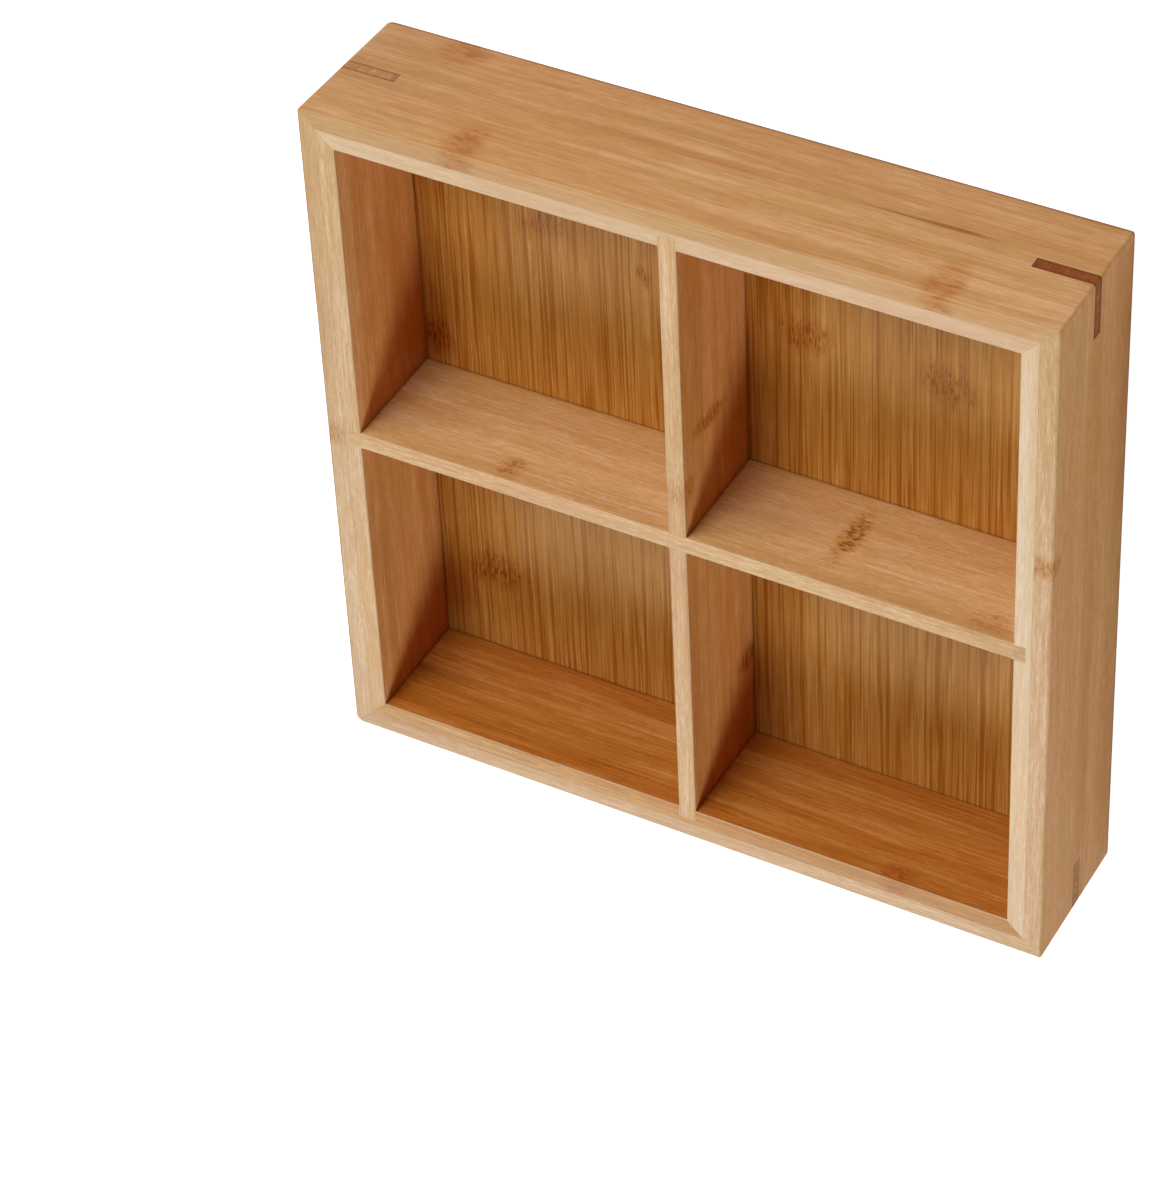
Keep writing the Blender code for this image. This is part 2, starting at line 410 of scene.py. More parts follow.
# Painted shade, in thin lines along the compartments' corners
CREASE_SHADE_TINT = rgb(0.42, 0.27, 0.17)  # in the corners of the compartments
# Painted shade along the base
FOOT_SHADE_TINT = rgb(0.34, 0.25, 0.18)  # along the base, where the walls stand

# Painted light on rounded edges: a painted highlight along the inner boards' and dividers' mouths, and
# painted shade on the outer boards' rounded edges
ARRIS_HIGHLIGHT = rgb(0.90, 0.70, 0.48)
ARRIS_SHADE = rgb(0.42, 0.20, 0.06)


class Look:
    """How one board looks: its colours, the weights of its grain and the marks on it."""

    def __init__(self, face, edge, seed, **choices):
        self.face = face
        self.edge = edge
        self.seed = seed
        self.contrast = 0.48
        self.edge_contrast = 0.5
        self.strip = 18.0
        self.strip_weight = 0.25
        self.line_weight = 0.0
        self.line_size = (70.0, 0.9, 0.9)
        self.drift = 3.0
        self.band_weight = 1.0
        self.streak_size = (30.0, 0.75, 0.9)
        self.streak_weight = 0.8
        self.fibre_weight = 0.6
        self.fleck_weight = 0.45
        self.cloud_weight = 0.35
        self.roughness = 0.42
        self.swings = GRAIN_SWING
        self.hue_share = 1.0
        self.fibre_size = (6.0, 0.28, 0.3)
        self.gloss = 1.47
        self.gloss_tint = rgb(1.0, 1.0, 1.0)
        self.coat = 0.12
        # Painted shade on the rounded edges by default, its strength and colour; some boards take a painted
        # highlight instead
        self.arris_light_shade = 0.35
        self.arris_light_shade_colour = ARRIS_SHADE
        self.knots = ()
        self.knot_shift = 2.0
        self.knot_dash = KNOT_DASH
        self.knot_dashes = (2.6, 0.8, 0.8)
        self.marks = ()
        # Strengths of the painted shade in the compartments' corners and along the base
        self.crease_shade = 0.0
        self.foot_shade = 0.0
        for name, value in choices.items():
            setattr(self, name, value)


# Grain: the sizes of its noises along, across and through a board, in millimetres, and their detail
GRAIN_SEED_STEP = 137.0             # sets one board's grain apart from the next one's
PLAIN = 1.0
RICH = 2.0
DRIFT_SIZE = (60.0, 16.0, 16.0)
BAND_SIZE = (170.0, 6.5, 9.0)
BAND_ROUGH = 0.55
STREAK_ROUGH = 0.6
FLECK_SIZE = (2.5, 0.5, 0.5)
CLOUD_SIZE = (11.0, 3.0, 3.0)
WARM_SIZE = (110.0, 13.0, 13.0)
STRIP_SCATTER = 0.7
MIDDLE_TONE = 0.5

# Ranges of a noise, or of an edge's mark, over which something goes from nothing to full
LINE_RANGE = (0.5, 0.64)
EDGE_RANGE = (0.1, 0.75)
HUE_RANGE = (0.38, 0.62)
DASH_RANGE = (0.48, 0.64)
ARRIS_RANGE = (0.3, 0.6)
HUES = [rgb(1.0, 0.965, 0.93), rgb(1.0, 1.0, 1.0), rgb(1.0, 1.03, 0.99)]

# Knots and marks: how much the streaks bend their outlines, in millimetres
KNOT_CORE = 0.3
KNOT_RAGGED = 5.0
MARK_RAGGED = 1.2
DASH_GAIN = 0.08                    # more dashes in a knot's middle

# Painted shade in the compartments' corners and along the base, in millimetres
CREASE_SHADE_REACH = 0.9
CREASE_SHADE_START = FLOOR_TOP / MM - 2.0  # none lower than this, where no board meets another
CREASE_SHADE_FULL = FLOOR_TOP / MM - 1.0
FOOT_SHADE_TOP = 1.9
FOOT_SHADE_FULL = 0.7

# Lacquer, rounded edges, and the painted light and shade on them
ARRIS_GAIN = (2.0, 4.0)
ROUGH_STREAK = 0.16
ROUGH_BAND = 0.12
ROUGH_WORN = 0.2
COAT_ROUGHNESS = 0.28
BUMP_STREAK = 0.6
BUMP_FIBRE = 0.4
BUMP_STRENGTH = 0.35
BUMP_DEPTH = 0.08 * MM


def grain_space(graph, along):
    """Millimetres along, across and through a board, from the object's own coordinates."""
    place = graph.add("ShaderNodeTexCoord").node.outputs["Object"]
    scaled = graph.vector("SCALE", place)
    scaled.node.inputs["Scale"].default_value = 1 / MM
    x, y, z = graph.split(scaled)
    if along == "x":
        return x, z, y
    if along == "y":
        return y, z, x
    return y, x, z


def crease_shades(graph, u, v, on_floor):
    """Painted shade: thin dark lines where the floor, or a board, meets the boards across it."""
    places = [HALF_DIVIDER / MM, (HALF_WIDTH - WALL) / MM]
    gaps = [graph.math("SUBTRACT", graph.math("ABSOLUTE", u), place) for place in places]
    if on_floor:
        gaps += [graph.math("SUBTRACT", graph.math("ABSOLUTE", v), place) for place in places]
    else:
        gaps.append(graph.math("SUBTRACT", v, FLOOR_TOP / MM))
    nearest = graph.math("ABSOLUTE", gaps[0])
    for gap in gaps[1:]:
        nearest = graph.math("MINIMUM", nearest, graph.math("ABSOLUTE", gap))
    return graph.steep(nearest, CREASE_SHADE_REACH, 0.0)


def bamboo(name, along, look):
    """Straight-grained bamboo under a satin lacquer."""
    material = bpy.data.materials.new(name)
    material.use_nodes = True
    graph = Graph(material)
    shader = material.node_tree.nodes["Principled BSDF"]

    u, v, w = grain_space(graph, along)
    seed = look.seed * GRAIN_SEED_STEP
    grain = graph.vector("ADD", graph.join(u, v, w), (seed, seed, seed))
    drift = graph.swing(graph.noise(grain, DRIFT_SIZE, PLAIN), look.drift)
    bent = graph.vector("ADD", grain, graph.join(0.0, drift, drift))

    band = graph.noise(bent, BAND_SIZE, RICH, BAND_ROUGH)
    streak = graph.noise(bent, look.streak_size, RICH, STREAK_ROUGH)
    fibre = graph.noise(bent, look.fibre_size, PLAIN)
    fleck = graph.noise(bent, FLECK_SIZE, PLAIN)
    cloud = graph.noise(bent, CLOUD_SIZE, RICH)
    warm = graph.noise(bent, WARM_SIZE, PLAIN)

    across = graph.split(bent)[1]
    cells = {"W": graph.math("DIVIDE", across, look.strip), "Scale": 1.0, "Randomness": STRIP_SCATTER}
    strip = graph.add("ShaderNodeTexVoronoi", cells, 1, voronoi_dimensions="1D", feature="F1")
    strip_tone, strip_shift, _ = graph.split(strip)

    tone = graph.total(
        graph.swing(band, look.band_weight),
        graph.swing(strip_tone, look.strip_weight),
        graph.swing(streak, look.streak_weight),
        graph.swing(fibre, look.fibre_weight),
        graph.swing(fleck, look.fleck_weight),
        graph.swing(cloud, look.cloud_weight),
    )
    if look.line_weight:
        line = graph.steep(graph.noise(bent, look.line_size, PLAIN), *LINE_RANGE, 0.0, look.line_weight)
        tone = graph.math("SUBTRACT", tone, line)
    tone = graph.math("ADD", tone, MIDDLE_TONE)

    face = graph.ramp(tone, shades(look.face, look.contrast, look.swings))
    edge_colour = graph.ramp(tone, shades(look.edge, look.edge_contrast))
    edge = graph.add("ShaderNodeAttribute", output=2, attribute_name="edge")
    edge_share = graph.steep(edge, *EDGE_RANGE)
    colour = graph.mix(edge_share, face, edge_colour)
    hue = graph.steep(warm, *HUE_RANGE)
    colour = graph.tint(look.hue_share, colour, graph.ramp(hue, HUES))

    if look.knots:
        shift = graph.swing(strip_shift, look.knot_shift)
        ragged = graph.total(u, shift, graph.swing(streak, KNOT_RAGGED))
        mask = graph.spots(ragged, v, look.knots, KNOT_CORE)
        speckle = graph.noise(bent, look.knot_dashes, PLAIN)
        dash = graph.steep(graph.math("ADD", speckle, graph.swing(mask, DASH_GAIN)), *DASH_RANGE)
        colour = graph.tint(mask, colour, KNOT_TINT)
        colour = graph.tint(graph.math("MULTIPLY", mask, dash), colour, look.knot_dash)
    wavering = graph.total(v, graph.swing(streak, MARK_RAGGED))
    for tint, core, places in look.marks:
        colour = graph.tint(graph.spots(u, wavering, places, core), colour, tint)

    # Painted shade in thin lines where boards meet in the compartments' corners
    if look.crease_shade:
        on_floor = along == "floor"
        share = graph.math("MULTIPLY", crease_shades(graph, u, v, on_floor), look.crease_shade)
        share = graph.math("MULTIPLY", share, graph.math("SUBTRACT", 1.0, edge_share))
        above = graph.steep(w if on_floor else v, CREASE_SHADE_START, CREASE_SHADE_FULL)
        colour = graph.tint(graph.math("MULTIPLY", share, above), colour, CREASE_SHADE_TINT)
    # Painted shade along the base
    if look.foot_shade:
        colour = graph.tint(graph.steep(v, FOOT_SHADE_TOP, FOOT_SHADE_FULL, 0.0, look.foot_shade), colour, FOOT_SHADE_TINT)

    # Painted light on the rounded edges: a highlight on the inner boards and dividers, shade on the outer
    # boards; the lacquer is rougher there too
    arris = graph.math("MULTIPLY", edge, graph.math("SUBTRACT", 1.0, edge))
    arris_light_shade = graph.math("MULTIPLY", arris, graph.steep(streak, *ARRIS_RANGE, *ARRIS_GAIN))
    colour = graph.mix(graph.math("MULTIPLY", arris_light_shade, look.arris_light_shade), colour, look.arris_light_shade_colour)
    bounced = graph.add("ShaderNodeLightPath").node.outputs["Is Diffuse Ray"]
    colour = graph.tint(bounced, colour, BOUNCE_TINT)

    roughness = graph.total(
        graph.swing(streak, ROUGH_STREAK),
        graph.swing(band, ROUGH_BAND),
        graph.math("MULTIPLY", arris_light_shade, ROUGH_WORN),
    )
    graph.put(colour, shader.inputs["Base Color"])
    graph.put(graph.math("ADD", roughness, look.roughness), shader.inputs["Roughness"])
    height = graph.total(
        graph.math("MULTIPLY", streak, BUMP_STREAK),
        graph.math("MULTIPLY", fibre, BUMP_FIBRE),
    )
    bump = {"Strength": BUMP_STRENGTH, "Distance": BUMP_DEPTH, "Height": height}
    graph.put(graph.add("ShaderNodeBump", bump), shader.inputs["Normal"])
    shader.inputs["IOR"].default_value = look.gloss
    shader.inputs["Specular Tint"].default_value = look.gloss_tint
    shader.inputs["Coat Weight"].default_value = look.coat
    shader.inputs["Coat Roughness"].default_value = COAT_ROUGHNESS
    return material


# Keys: sizes and distances in millimetres
KEY_STRIPE_SIZE = (0.7, 5.0, 0.7)
KEY_BLOTCH_SIZE = (1.8, 1.0, 1.8)
KEY_STRIPE_WEIGHT = 1.5
KEY_BLOTCH_WEIGHT = 1.0
KEY_CONTRAST = 0.5
KEY_SIDE_CONTRAST = 0.75
KEY_TURN = (0.9, 0.2)               # inside the side's plane, where the side's colour starts and is full
KEY_LINE_WANDER = 0.9
KEY_LINE = (1.4, 0.2)               # inside the key's upper and lower faces, where the glue lines do
KEY_END = 3.0                       # over which the key's two ends go darker
KEY_END_SHARE = 0.8
KEY_ROUGHNESS = 0.58
KEY_ROUGH_STRIPE = 0.15
KEY_BUMP_STRENGTH = 0.3
KEY_SPECULAR = 0.25


def key_wood(name, wood):
    """The wood of a key: short stripes across its thickness, and darker glue lines along its edges."""
    material = bpy.data.materials.new(name)
    material.use_nodes = True
    graph = Graph(material)
    shader = material.node_tree.nodes["Principled BSDF"]
    x, z, y = grain_space(graph, "x")
    grain = graph.join(x, z, y)
    stripe = graph.noise(grain, KEY_STRIPE_SIZE, RICH)
    blotch = graph.noise(grain, KEY_BLOTCH_SIZE, RICH)
    stripes = graph.swing(stripe, KEY_STRIPE_WEIGHT)
    tone = graph.total(stripes, graph.swing(blotch, KEY_BLOTCH_WEIGHT), MIDDLE_TONE)
    turn_start, turn_end = (HALF_WIDTH / MM - distance for distance in KEY_TURN)
    on_side = graph.steep(graph.math("ABSOLUTE", x), turn_start, turn_end)
    rear = graph.ramp(tone, shades(wood.rear, KEY_CONTRAST))
    side = graph.ramp(tone, shades(wood.side, KEY_SIDE_CONTRAST))
    colour = graph.mix(on_side, rear, side)
    rise = graph.math("ABSOLUTE", graph.math("SUBTRACT", z, KEY_LEVEL / MM))
    wander = graph.math("ADD", rise, graph.swing(blotch, KEY_LINE_WANDER))
    line_start, line_end = (HALF_KEY / MM - distance for distance in KEY_LINE)
    line = graph.steep(wander, line_start, line_end, 0.0, wood.line_share)
    colour = graph.mix(line, colour, wood.line)
    reach = graph.math("ADD", graph.math("ABSOLUTE", x), graph.math("ABSOLUTE", y))
    end = (HALF_WIDTH + HALF_DEPTH - KEY_REACH) / MM
    end_share = graph.steep(reach, end + KEY_END, end, 0.0, wood.line_share * KEY_END_SHARE)
    colour = graph.mix(end_share, colour, wood.line)
    graph.put(colour, shader.inputs["Base Color"])
    roughness = graph.math("ADD", graph.swing(stripe, KEY_ROUGH_STRIPE), KEY_ROUGHNESS)
    graph.put(roughness, shader.inputs["Roughness"])
    bump = {"Strength": KEY_BUMP_STRENGTH, "Distance": BUMP_DEPTH, "Height": stripe}
    graph.put(graph.add("ShaderNodeBump", bump), shader.inputs["Normal"])
    shader.inputs["Specular IOR Level"].default_value = KEY_SPECULAR
    return material


class KeyWood:
    """A key's colour on the rear or front face and on the side, and its glue lines."""

    def __init__(self, rear, side, line, line_share):
        self.rear = rear
        self.side = side
        self.line = rgb(*line)
        self.line_share = line_share


# Colours of the boards' faces and of their paler edges
TAN_FACE = (0.605, 0.295, 0.097)
TAN_SIDE = (0.635, 0.292, 0.066)
TAN_EDGE = (0.782, 0.469, 0.217)
REAR_TAN_EDGE = (0.753, 0.430, 0.183)
REAR_EDGE = (0.846, 0.557, 0.309)
LEFT_EDGE = (0.730, 0.415, 0.157)
RIGHT_EDGE = (0.919, 0.659, 0.394)
FRONT_EDGE = (0.677, 0.332, 0.075)
PINK_FACE = (0.681, 0.326, 0.099)
ORANGE_FACE = (0.525, 0.185, 0.023)
FLOOR_FACE = (0.608, 0.279, 0.048)
CROSS_FACE = (0.709, 0.423, 0.167)
LONG_FACE = (0.642, 0.309, 0.091)
DIVIDER_EDGE = (0.798, 0.469, 0.194)

# A knot or mark: its place along and across the board, its half sizes and its strength, in millimetres.
# On the floor, along is towards the rear and across towards the right. Before marks come tint and core.
LOOKS = {
    "rear_wall_outer_board": Look(
        TAN_FACE, REAR_TAN_EDGE, 1, strip=17.0, contrast=0.5, edge_contrast=0.37,
        streak_weight=0.75, fibre_weight=0.4, fleck_weight=0.25, foot_shade=0.8,
        knots=(
            (-70.5, 46.0, 8.5, 15.0, 0.8), (86.0, 46.0, 8.5, 15.0, 0.8), (-94.0, 5.0, 12.0, 8.0, 0.65),
        ),
        knot_dashes=(4.2, 1.3, 1.3),
        marks=(
            (STREAK_TINT, 0.3, ((70.0, 21.8, 28.0, 0.8, 0.75), (79.0, 21.3, 18.0, 0.8, 0.85))),
            (STREAK_TINT, 0.0, ((-62.0, 9.0, 13.0, 0.9, 0.45),)),
            (PALE_TINT, 0.2, ((-30.0, 53.0, 55.0, 2.6, 0.35),)),
            (YELLOW_TINT, 0.2, ((95.0, 53.0, 55.0, 2.6, 0.6),)),
            (DULL_TINT, 0.2, ((-110.0, 20.0, 45.0, 45.0, 0.8),)),
        ),
    ),
    "right_wall_outer_board": Look(
        TAN_SIDE, TAN_EDGE, 2, strip=9.0, contrast=0.5, band_weight=0.55, fleck_weight=0.5, swings=DEEP_SWING,
        foot_shade=0.8,
        knots=((36.0, 50.5, 6.0, 5.5, 0.9),),
    ),
    "left_wall_outer_board": Look(
        TAN_SIDE, TAN_EDGE, 3, strip=9.0, foot_shade=0.8,
        knots=((-38.0, 30.0, 8.0, 13.0, 0.6), (0.0, 52.0, 6.0, 5.0, 0.7)),
    ),
    "front_wall_outer_board": Look(TAN_FACE, TAN_EDGE, 4, foot_shade=0.8, knots=((52.0, 16.0, 8.0, 12.0, 0.6),)),
    "rear_wall_inner_board": Look(
        PINK_FACE, REAR_EDGE, 5, edge_contrast=0.28, arris_light_shade=0.8, arris_light_shade_colour=ARRIS_HIGHLIGHT, crease_shade=0.6,
        knots=((40.0, 30.0, 8.0, 13.0, 0.8),),
    ),
    "left_wall_inner_board": Look(
        PINK_FACE, LEFT_EDGE, 6, strip=14.0, arris_light_shade=0.8, arris_light_shade_colour=ARRIS_HIGHLIGHT, crease_shade=0.6,
        marks=(
            (PALE_TINT, 0.3, ((-85.0, 53.0, 75.0, 3.0, 0.9),)),
            # Painted shade, darker and redder, in the front corner by the floor
            (DEEP_SHADE_TINT, 0.2, ((-110.0, 22.0, 28.0, 26.0, 0.8),)),
        ),
    ),
    "right_wall_inner_board": Look(
        PINK_FACE, RIGHT_EDGE, 7, edge_contrast=0.3, arris_light_shade=0.8, arris_light_shade_colour=ARRIS_HIGHLIGHT, crease_shade=0.6,
        knots=((-60.0, 34.0, 8.0, 13.0, 0.8),),
        marks=((PALE_TINT, 0.3, ((-60.0, 53.0, 40.0, 3.0, 0.5),)),),
    ),
    "front_wall_inner_board": Look(
        ORANGE_FACE, FRONT_EDGE, 8, contrast=0.55, streak_weight=1.4, arris_light_shade=0.8, arris_light_shade_colour=ARRIS_HIGHLIGHT,
        swings=DEEP_SWING, crease_shade=0.6, knot_dash=DARK_DASH,
        knots=((74.0, 48.0, 9.0, 7.0, 0.6),),
        marks=(
            (STREAK_TINT, 0.3, ((-108.0, 31.0, 26.0, 6.5, 0.5),)),
            (YELLOW_TINT, 0.3, ((-5.0, 53.0, 60.0, 3.0, 0.9),)),
        ),
    ),
    "floor_panel": Look(
        FLOOR_FACE, FLOOR_FACE, 9, strip=2.6, contrast=0.66, strip_weight=0.12, line_weight=0.5, drift=0.8,
        band_weight=0.0, streak_size=(90.0, 0.7, 0.7), streak_weight=0.68, fibre_size=(20.0, 0.4, 0.4),
        fibre_weight=0.7, fleck_weight=0.15, cloud_weight=0.25, hue_share=0.4, swings=FLOOR_SWING, crease_shade=0.6,
        gloss=1.55, gloss_tint=rgb(1.0, 0.77, 0.35), coat=0.02, knot_shift=5.0, knot_dashes=(3.2, 0.7, 0.7),
        knot_dash=DARK_DASH,
        knots=(
            (60.5, 23.5, 9.5, 14.0, 0.75), (56.5, 70.8, 10.0, 14.0, 0.75), (-79.5, -91.5, 11.0, 17.0, 0.8),
            (71.5, -67.5, 7.0, 14.0, 0.65), (12.5, -109.0, 10.0, 9.0, 0.9), (63.0, -32.0, 5.0, 4.0, 0.9),
            (-30.0, 58.0, 7.0, 12.0, 0.5),
        ),
        marks=(
            # Painted sheen on the floor, in the right compartments
            (PALE_TINT, 0.3, ((58.0, 98.0, 55.0, 22.0, 0.7), (-62.0, 98.0, 50.0, 22.0, 0.6))),
            # Painted shade along the left wall's foot, darkest in the compartments' front corners, partly
            # darker wood
            (DEEP_SHADE_TINT, 0.2, (
                (-92.0, -110.0, 18.0, 16.0, 0.9), (18.0, -110.0, 26.0, 14.0, 0.6),
                (75.0, -113.0, 60.0, 6.0, 0.4),
            )),
        ),
    ),
    "cross_divider": Look(
        CROSS_FACE, DIVIDER_EDGE, 10, strip=13.0, contrast=0.42, band_weight=0.6, fleck_weight=0.6, arris_light_shade=0.7,
        arris_light_shade_colour=ARRIS_HIGHLIGHT, crease_shade=0.6, knot_dashes=(2.0, 1.1, 1.1), knot_dash=BROWN_DASH,
        knots=((47.5, 29.0, 5.2, 18.0, 0.85), (-61.8, 45.8, 6.5, 7.5, 0.6), (102.0, 46.0, 9.0, 8.0, 0.35)),
        marks=(
            (STAIN_TINT, 0.6, ((115.0, 52.0, 2.6, 3.5, 0.3),)),
            (PALE_TINT, 0.2, ((30.0, 12.0, 60.0, 14.0, 0.6),)),
        ),
    ),
    "long_divider": Look(
        LONG_FACE, DIVIDER_EDGE, 11, strip=13.0, arris_light_shade=0.7, arris_light_shade_colour=ARRIS_HIGHLIGHT, crease_shade=0.6,
        knot_dash=DARK_DASH,
        knots=((38.0, 34.0, 4.6, 15.0, 0.85), (20.0, 49.0, 7.5, 6.0, 0.65), (-77.0, 13.0, 7.0, 10.0, 1.0)),
        # Painted shade, darker and redder, in the front corner by the floor
        marks=((DEEP_SHADE_TINT, 0.2, ((-110.0, 20.0, 26.0, 24.0, 0.5),)),),
    ),
}
KEY_WOODS = {
    "rear_right_key": KeyWood((0.292, 0.068, 0.008), (0.335, 0.093, 0.007), (0.17, 0.036, 0.005), 0.85),
    "rear_left_key": KeyWood((0.53, 0.265, 0.101), (0.53, 0.265, 0.101), (0.31, 0.125, 0.044), 0.95),
    "front_left_key": KeyWood((0.48, 0.230, 0.085), (0.48, 0.230, 0.085), (0.14, 0.060, 0.030), 0.6),
    "front_right_key": KeyWood((0.48, 0.230, 0.085), (0.455, 0.195, 0.062), (0.26, 0.110, 0.045), 0.35),
}


# Pieces

def finish(node, thing, material):
    """Gives a piece its material and smooth shading, puts it under the root body and hides the CAD node that
    it replaces.
    """
    mesh = thing.data
    mesh.materials.clear()
    mesh.materials.append(material)
    mesh.shade_smooth()
    mesh.set_sharp_from_angle(angle=SHARP_ANGLE)
    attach(thing, "root")
    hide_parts(node)


def make_cutters():
    """What is cut out of the boards: the keys' slots, the floor's groove, the housings and the laps."""
    cutters = {}
    for turn, corner in enumerate(CORNERS):
        slot = corner_place(corner, key_slot(f"{corner}_slot"), turn)
        cutters[corner] = link(f"{corner}_slot", slot)
    reach = FLOOR_REACH + JOINT
    groove = block("groove", (-reach, -reach, floor_low[2] - JOINT), (reach, reach, FLOOR_TOP + JOINT))
    cutters["groove"] = link("groove", groove)
    half = HALF_DIVIDER + CLOSE_JOINT
    top = TRAY_HEIGHT + CUT_OVERRUN
    for turn, name in enumerate(("cross_housing", "long_housing")):
        housing = block(name, (-HOUSING_END, -half, FLOOR_TOP), (HOUSING_END, half, top))
        cutters[name] = link(name, turned(housing, turn))
    for turn, name in enumerate(("cross_lap", "long_lap")):
        low = FLOOR_TOP - CUT_OVERRUN if turn == 0 else LAP_LEVEL - CLOSE_JOINT / 2
        high = LAP_LEVEL + CLOSE_JOINT / 2 if turn == 0 else top
        lap = block(name, (-half, -half - CUT_OVERRUN, low), (half, half + CUT_OVERRUN, high))
        cutters[name] = link(name, turned(lap, turn))
    return cutters


def make_walls(cutters):
    for turn, wall in enumerate(WALLS):
        along = "x" if turn % 2 == 0 else "y"
        half_length = HALF_WIDTH if along == "x" else HALF_DEPTH
        near, far = CORNERS[turn], CORNERS[(turn + 1) % len(CORNERS)]
        slots = [cutters[near], cutters[far]]
        housing = cutters["long_housing" if along == "x" else "cross_housing"]

        node = f"{wall}_wall_outer_board"
        mesh = outer_board(node, half_length, (near, far))
        thing = link(f"{node}_bamboo", wall_place(turn, mesh))
        carve(thing, slots)
        mark_edges(thing.data, 0, TRAY_HEIGHT, BASE_ROUND, RIM_ROUND)
        finish(node, thing, bamboo(f"{node}_finish", along, LOOKS[node]))

        node = f"{wall}_wall_inner_board"
        thing = link(f"{node}_bamboo", wall_place(turn, inner_board(node, half_length)))
        carve(thing, slots + [housing, cutters["groove"]])
        mark_edges(thing.data, 0, TRAY_HEIGHT, MOUTH_EASE, MOUTH_EASE)
        finish(node, thing, bamboo(f"{node}_finish", along, LOOKS[node]))


def make_floor():
    low = (-FLOOR_REACH, -FLOOR_REACH, floor_low[2])
    thing = link("floor_panel_bamboo", block("floor_panel", low, (FLOOR_REACH, FLOOR_REACH, FLOOR_TOP)))
    mark_edges(thing.data, 0, 0, 0, 0)
    finish("floor_panel", thing, bamboo("floor_panel_finish", "floor", LOOKS["floor_panel"]))


def make_dividers(cutters):
    for turn, (node, along) in enumerate((("cross_divider", "x"), ("long_divider", "y"))):
        thing = link(f"{node}_bamboo", turned(divider(node, HOUSING_END), turn))
        carve(thing, [cutters[f"{node.split('_')[0]}_lap"]])
        mark_edges(thing.data, FLOOR_TOP, TRAY_HEIGHT, 0, MOUTH_EASE)
        finish(node, thing, bamboo(f"{node}_finish", along, LOOKS[node]))


def make_keys():
    for turn, corner in enumerate(CORNERS):
        node = f"{corner}_key"
        mesh = corner_place(corner, key(node, corner), turn)
        material = key_wood(f"{node}_finish", KEY_WOODS[node])
        finish(node, link(f"{node}_bamboo", mesh), material)


# Floor, light and camera
STAGE_RADIUS = 6.0
STAGE_STEPS = 96
STAGE_DROP = 0.07 * MM            # keeps the floor clear of the base's own plane
STAGE_OVERLAP = 0.6 * MM          # by which the floor reaches in under the tray's outline
STAGE_GREY = rgb(0.80, 0.80, 0.80)
STAGE_ROUGHNESS = 0.9
STAGE_GLOW = 0.85                 # lifts the floor to the photograph's white
WHITE = rgb(1.0, 1.0, 1.0)
TRAY_MIDDLE = Vector((0, 0, TRAY_HEIGHT / 2))

# Softboxes: the direction towards each from the tray, its distance, width and height, and its power
SOFTBOXES = {
    "main_softbox": ((-0.17, 0.65, 0.74), 2.0, 0.95, 0.7, 18.3),
    "low_softbox": ((-0.36, 0.89, 0.29), 2.0, 1.0, 0.6, 12.0),
    "side_softbox": ((2.24, -1.19, 1.08), 2.0, 0.5, 0.5, 16.0),
    "back_softbox": ((-0.41, -0.83, 0.59), 2.0, 1.3, 1.1, 14.3),
}
ROOM_BRIGHTNESS = 0.012
UNDERSIDE_BRIGHTNESS = 0.7        # from below the horizon, where the floor hides the room from all else
HORIZON_START = -0.02             # heights of the direction over which one goes into the other
HORIZON_END = -0.01

# Camera, as fitted to the photograph
PHOTO_HEIGHT_PIXELS = 1200
FOCAL_PIXELS = 4749.47
SENSOR_LONG_SIDE = 36.0
CAMERA_PLACE = (0.538379, 0.949778, 1.014395)
CAMERA_RIGHT = (0.87621394, -0.04183025, -0.48010349)
CAMERA_UP = (-0.29031133, 0.74936453, -0.59512363)
CAMERA_BACK = (0.3846667, 0.6608351, 0.64445985)


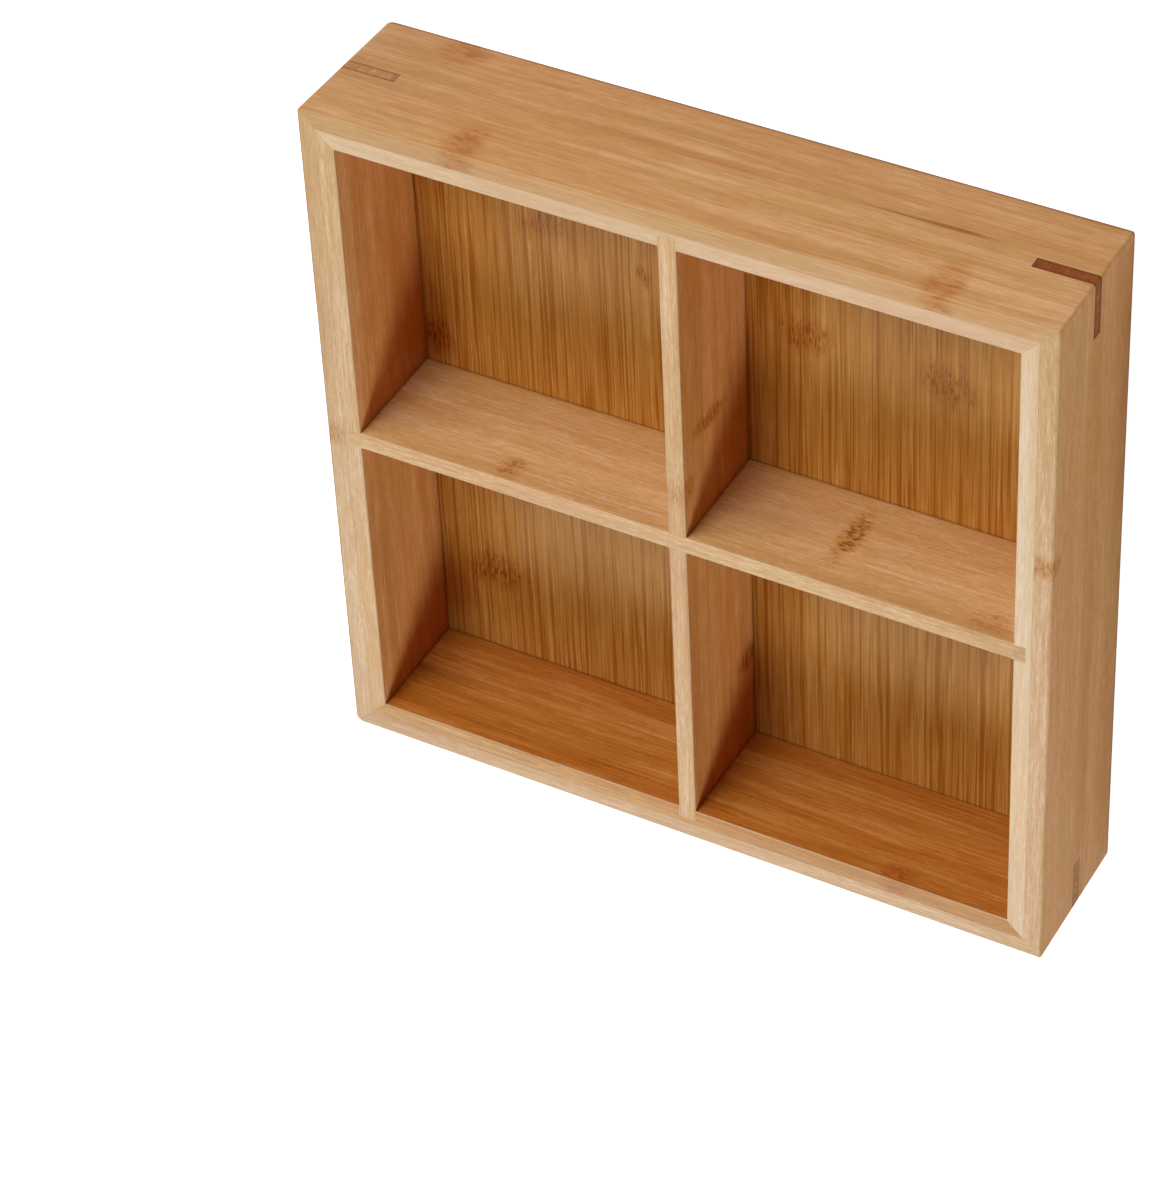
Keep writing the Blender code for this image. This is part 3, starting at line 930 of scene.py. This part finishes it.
def make_stage():
    """A plain floor, open under the tray and clear from below, so that the underside can be seen."""
    shape = bmesh.new()
    rings = [[], []]
    for i in range(STAGE_STEPS):
        angle = 2 * pi * i / STAGE_STEPS
        x, y = cos(angle), sin(angle)
        square = (HALF_WIDTH - STAGE_OVERLAP) / max(abs(x), abs(y))
        rings[0].append(shape.verts.new((x * square, y * square, 0)))
        rings[1].append(shape.verts.new((x * STAGE_RADIUS, y * STAGE_RADIUS, 0)))
    for i in range(STAGE_STEPS):
        j = (i + 1) % STAGE_STEPS
        shape.faces.new((rings[0][i], rings[1][i], rings[1][j], rings[0][j]))
    mesh = bpy.data.meshes.new("studio_floor")
    shape.to_mesh(mesh)
    shape.free()
    thing = link("studio_floor", mesh)
    thing.location.z = -STAGE_DROP
    material = bpy.data.materials.new("studio_floor")
    material.use_nodes = True
    tree = material.node_tree
    # The camera sees a floor lifted to white, and the tray is lit by a plain grey one
    seen_floor = tree.nodes["Principled BSDF"]
    seen_floor.inputs["Base Color"].default_value = STAGE_GREY
    seen_floor.inputs["Roughness"].default_value = STAGE_ROUGHNESS
    seen_floor.inputs["Specular IOR Level"].default_value = 0.0
    seen_floor.inputs["Emission Color"].default_value = WHITE
    seen_floor.inputs["Emission Strength"].default_value = STAGE_GLOW
    lighting_floor = tree.nodes.new("ShaderNodeBsdfDiffuse")
    lighting_floor.inputs["Color"].default_value = STAGE_GREY
    seen = tree.nodes.new("ShaderNodeLightPath")
    mix = tree.nodes.new("ShaderNodeMixShader")
    tree.links.new(seen.outputs["Is Camera Ray"], mix.inputs[0])
    tree.links.new(lighting_floor.outputs[0], mix.inputs[1])
    tree.links.new(seen_floor.outputs[0], mix.inputs[2])
    side = tree.nodes.new("ShaderNodeNewGeometry")
    clear = tree.nodes.new("ShaderNodeBsdfTransparent")
    one_sided = tree.nodes.new("ShaderNodeMixShader")
    tree.links.new(side.outputs["Backfacing"], one_sided.inputs[0])
    tree.links.new(mix.outputs[0], one_sided.inputs[1])
    tree.links.new(clear.outputs[0], one_sided.inputs[2])
    tree.links.new(one_sided.outputs[0], tree.nodes["Material Output"].inputs["Surface"])
    mesh.materials.append(material)


def make_world():
    """A white backdrop to the camera and a dim room to the tray."""
    world = bpy.data.worlds.new("studio")
    world.use_nodes = True
    tree = world.node_tree
    room = tree.nodes["Background"]
    room.inputs["Color"].default_value = WHITE
    place = tree.nodes.new("ShaderNodeTexCoord")
    split = tree.nodes.new("ShaderNodeSeparateXYZ")
    tree.links.new(place.outputs["Generated"], split.inputs[0])
    strength = tree.nodes.new("ShaderNodeMapRange")
    strength.inputs["From Min"].default_value = HORIZON_START
    strength.inputs["From Max"].default_value = HORIZON_END
    strength.inputs["To Min"].default_value = UNDERSIDE_BRIGHTNESS
    strength.inputs["To Max"].default_value = ROOM_BRIGHTNESS
    tree.links.new(split.outputs["Z"], strength.inputs["Value"])
    tree.links.new(strength.outputs[0], room.inputs["Strength"])
    backdrop = tree.nodes.new("ShaderNodeBackground")
    backdrop.inputs["Color"].default_value = WHITE
    backdrop.inputs["Strength"].default_value = 1.0
    seen = tree.nodes.new("ShaderNodeLightPath")
    mix = tree.nodes.new("ShaderNodeMixShader")
    tree.links.new(seen.outputs["Is Camera Ray"], mix.inputs[0])
    tree.links.new(room.outputs[0], mix.inputs[1])
    tree.links.new(backdrop.outputs[0], mix.inputs[2])
    tree.links.new(mix.outputs[0], tree.nodes["World Output"].inputs["Surface"])
    bpy.context.scene.world = world


def make_lights():
    for name, (direction, distance, width, height, power) in SOFTBOXES.items():
        light = bpy.data.lights.new(name, "AREA")
        light.shape = "RECTANGLE"
        light.size = width
        light.size_y = height
        light.energy = power
        lamp = link(name, light)
        towards = Vector(direction).normalized()
        lamp.location = TRAY_MIDDLE + towards * distance
        lamp.rotation_euler = towards.to_track_quat("Z", "Y").to_euler()


def make_camera():
    camera = bpy.data.cameras.new("camera")
    camera.sensor_width = SENSOR_LONG_SIDE
    camera.lens = FOCAL_PIXELS / PHOTO_HEIGHT_PIXELS * SENSOR_LONG_SIDE
    holder = link("camera", camera)
    axes = Matrix((CAMERA_RIGHT, CAMERA_UP, CAMERA_BACK)).transposed().to_4x4()
    holder.matrix_world = Matrix.Translation(CAMERA_PLACE) @ axes
    bpy.context.scene.camera = holder


def main():
    cutters = make_cutters()
    make_walls(cutters)
    make_floor()
    make_dividers(cutters)
    make_keys()
    for cutter in cutters.values():
        bpy.data.objects.remove(cutter)
    make_stage()
    make_world()
    make_lights()
    make_camera()
    bpy.context.scene.view_settings.view_transform = "Standard"


main()
